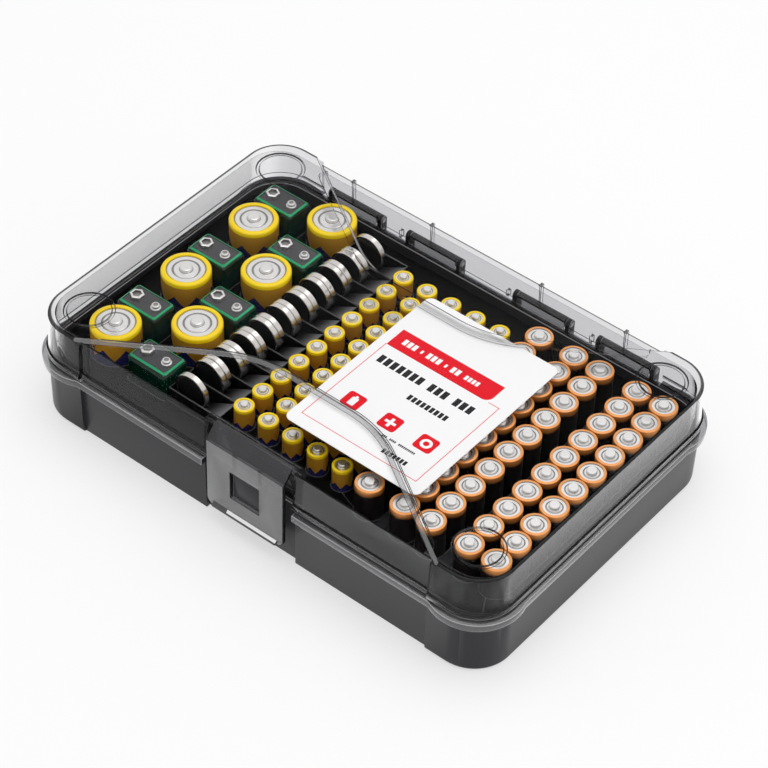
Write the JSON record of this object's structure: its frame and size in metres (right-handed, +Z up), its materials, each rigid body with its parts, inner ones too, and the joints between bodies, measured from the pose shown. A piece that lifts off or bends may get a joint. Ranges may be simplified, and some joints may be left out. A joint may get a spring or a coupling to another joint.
{
  "type": "battery storage case",
  "caption": "Flat storage case for batteries with a dark tub, a pierced insert that holds the cells upright, a clear hinged lid and a snap flap.",
  "frame": {"origin": "middle of the case's footprint, on the surface that it stands on", "axes": "+X along the case to the right as seen from the flap side, +Y from the flap to the hinges, +Z up"},
  "size_m": [0.295, 0.195, 0.062],
  "materials": {
    "tub": "smooth dark smoke plastic",
    "insert": "satin black plastic",
    "clear_lid": "clear plastic with a light smoke tint",
    "clear_flap": "clear plastic with a smoke tint",
    "pin_steel": "plain drawn wire",
    "card": "white card printed in red and black",
    "copper_cell": "black sleeve with a copper coloured top band",
    "gold_cell": "gold sleeve with a yellow rim and a dark blue foot",
    "green_cell": "green and black sleeve",
    "coin_steel": "bright nickel"
  },
  "bodies": {
    "case": {"case_base": "tub", "battery_tray": "insert", "hinge_pin_1": "pin_steel", "hinge_pin_2": "pin_steel", "hinge_pin_3": "pin_steel", "hinge_pin_4": "pin_steel", "aa_column_1": "copper_cell", "aa_column_2": "copper_cell", "aa_column_3": "copper_cell", "aa_column_4": "copper_cell", "aa_column_5": "copper_cell", "aaa_column_1": "gold_cell", "aaa_column_2": "gold_cell", "aaa_column_3": "gold_cell", "aaa_column_4": "gold_cell", "aaa_column_5": "gold_cell", "c_cell_1": "gold_cell", "c_cell_2": "gold_cell", "c_cell_3": "gold_cell", "c_cell_4": "gold_cell", "c_cell_5": "gold_cell", "c_cell_6": "gold_cell", "block_cell_1": "green_cell", "block_cell_2": "green_cell", "block_cell_3": "green_cell", "block_cell_4": "green_cell", "block_cell_5": "green_cell", "block_cell_6": "green_cell", "coin_cells": "coin_steel"},
    "lid": {"lid": "clear_lid", "label_card": "card"},
    "flap": {"latch_flap": "clear_flap"}
  },
  "joints": [
    {"name": "lid_hinge", "type": "hinge", "parent": "case", "child": "lid", "pos_m": [0, 0.095, 0.0413], "axis": [-1, 0, 0], "range_deg": [0, 110]},
    {"name": "flap_hinge", "type": "hinge", "parent": "lid", "child": "flap", "pos_m": [0, -0.0886, 0.0584], "axis": [-1, 0, 0], "range_deg": [0, 100]}
  ]
}
